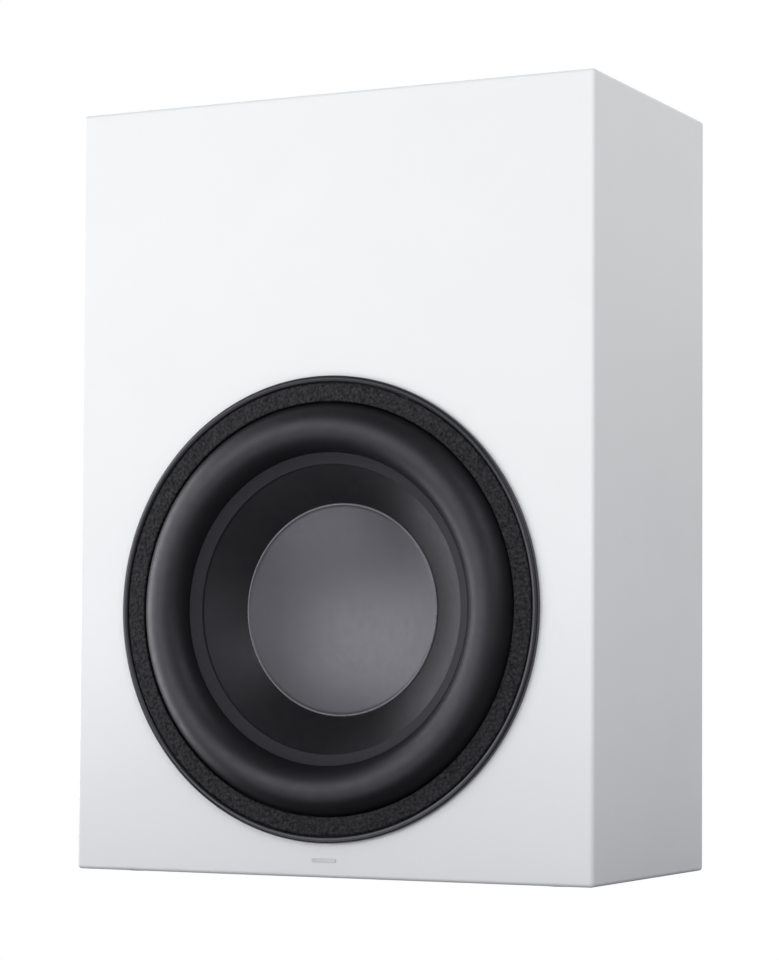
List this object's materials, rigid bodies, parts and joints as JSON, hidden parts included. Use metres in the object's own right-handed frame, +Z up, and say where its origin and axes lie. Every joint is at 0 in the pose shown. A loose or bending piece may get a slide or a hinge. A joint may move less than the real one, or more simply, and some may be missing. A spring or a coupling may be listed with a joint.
{
  "type": "powered subwoofer",
  "caption": "Closed-box powered subwoofer with one large long-throw driver in a slim white cabinet and a plate amplifier on its back.",
  "frame": {"origin": "on the floor under the middle of the cabinet", "axes": "+Z up, the driver faces -Y, +X to the right as seen from in front of the driver"},
  "size_m": [0.382, 0.225, 0.5215],
  "materials": {
    "white_lacquer": "satin white lacquer over fibreboard",
    "fibreboard": "raw fibreboard",
    "pad_rubber": "moulded, matt",
    "badge_metal": "fine brushed, blank",
    "felt": "needled felt",
    "wadding": "loose polyester fleece",
    "basket_coat": "cast, black powder coat",
    "trim_black": "moulded, satin",
    "foam_black": "open grainy foam rubber",
    "gasket_foam": "closed-cell foam",
    "black_screws": "blackened",
    "zinc_steel": "zinc plated",
    "motor_steel": "black passivated",
    "ferrite": "ground ferrite",
    "ring_aluminium": "turned",
    "boot_rubber": "moulded, satin",
    "terminal_plastic": "moulded",
    "surround_rubber": "satin butyl",
    "cone_black": "satin coated",
    "cap_grey": "satin",
    "former_film": "rolled foil",
    "coil_copper": "enamelled winding",
    "spider_cloth": "resin-dipped weave",
    "tinsel_braid": "tinned braid",
    "plate_black": "black anodised, bead-blasted",
    "heatsink_black": "extruded, black anodised",
    "can_steel": "folded galvanised sheet",
    "transformer_tape": "wound polyester tape",
    "board_green": "glass epoxy, solder mask",
    "spacer_brass": "turned",
    "capacitor_sleeve": "shrink sleeve",
    "device_epoxy": "moulded",
    "clamp_steel": "pressed",
    "pot_plastic": "moulded",
    "knob_plastic": "moulded, fine texture",
    "socket_gold": "gold flashed",
    "socket_plastic": "moulded",
    "switch_plastic": "moulded",
    "lens": "diffusing",
    "inlet_plastic": "moulded",
    "pin_nickel": "nickel plated",
    "fuse_glass": "glass tube with metal ends",
    "wire_sheath": "smooth insulation"
  },
  "bodies": {
    "cabinet": {"front_baffle": "white_lacquer", "rear_panel": "white_lacquer", "left_panel": "white_lacquer", "right_panel": "white_lacquer", "top_panel": "white_lacquer", "bottom_panel": "white_lacquer", "foot_pads": "pad_rubber", "badge": "badge_metal", "shelf_brace": "fibreboard", "damping_felt": "felt", "polyester_wadding": "wadding", "basket": "basket_coat", "trim_ring": "trim_black", "foam_ring": "foam_black", "driver_gasket": "gasket_foam", "driver_screws": "black_screws", "flanged_inserts": "zinc_steel", "top_plate": "motor_steel", "magnets": "ferrite", "pole_yoke": "motor_steel", "shorting_ring": "ring_aluminium", "magnet_boot": "boot_rubber", "motor_screws": "zinc_steel", "terminal_block": "terminal_plastic", "surround": "surround_rubber", "spider": "spider_cloth", "tinsel_leads": "tinsel_braid", "amp_plate": "plate_black", "amp_gasket": "gasket_foam", "amp_screws": "black_screws", "heatsink": "heatsink_black", "amp_chassis": "can_steel", "toroid_transformer": "transformer_tape", "transformer_bolt": "zinc_steel", "main_board": "board_green", "control_board": "board_green", "board_standoffs": "spacer_brass", "filter_capacitors": "capacitor_sleeve", "output_transistors": "device_epoxy", "transistor_clamp": "clamp_steel", "pot_bodies": "pot_plastic", "socket_shells": "socket_gold", "socket_insulators": "socket_plastic", "mode_switch_body": "can_steel", "status_lens": "lens", "mains_inlet": "inlet_plastic", "inlet_pins": "pin_nickel", "rocker_frame": "inlet_plastic", "internal_wiring": "wire_sheath"},
    "cone_assembly": {"cone": "cone_black", "dust_cap": "cap_grey", "voice_coil_former": "former_film", "voice_coil": "coil_copper"},
    "gain_knob": {"gain_knob": "knob_plastic"},
    "crossover_knob": {"crossover_knob": "knob_plastic"},
    "phase_knob": {"phase_knob": "knob_plastic"},
    "mode_slider": {"mode_slider": "switch_plastic"},
    "fuse_drawer": {"fuse_drawer": "switch_plastic", "mains_fuse": "fuse_glass"},
    "mains_rocker": {"mains_rocker": "switch_plastic"}
  },
  "joints": [
    {"name": "cone_excursion", "type": "slide", "parent": "cabinet", "child": "cone_assembly", "axis": [0, -1, 0], "range_m": [-0.012, 0.012], "stiffness_N_per_m": 3000, "deforming": ["surround", "spider", "tinsel_leads"]},
    {"name": "gain_turn", "type": "hinge", "parent": "cabinet", "child": "gain_knob", "pos_m": [-0.02, 0.1, 0.4595], "axis": [0, 1, 0], "range_deg": [-150, 150]},
    {"name": "crossover_turn", "type": "hinge", "parent": "cabinet", "child": "crossover_knob", "pos_m": [-0.02, 0.1, 0.4275], "axis": [0, 1, 0], "range_deg": [-150, 150]},
    {"name": "phase_turn", "type": "hinge", "parent": "cabinet", "child": "phase_knob", "pos_m": [-0.02, 0.1, 0.3955], "axis": [0, 1, 0], "range_deg": [-150, 150]},
    {"name": "mode_slide", "type": "slide", "parent": "cabinet", "child": "mode_slider", "axis": [-1, 0, 0], "range_m": [-0.0035, 0.0035]},
    {"name": "fuse_drawer_slide", "type": "slide", "parent": "cabinet", "child": "fuse_drawer", "axis": [0, 1, 0], "range_m": [0, 0.018]},
    {"name": "rocker_tilt", "type": "hinge", "parent": "cabinet", "child": "mains_rocker", "pos_m": [-0.088, 0.096, 0.3635], "axis": [1, 0, 0], "range_deg": [0, 18]}
  ]
}
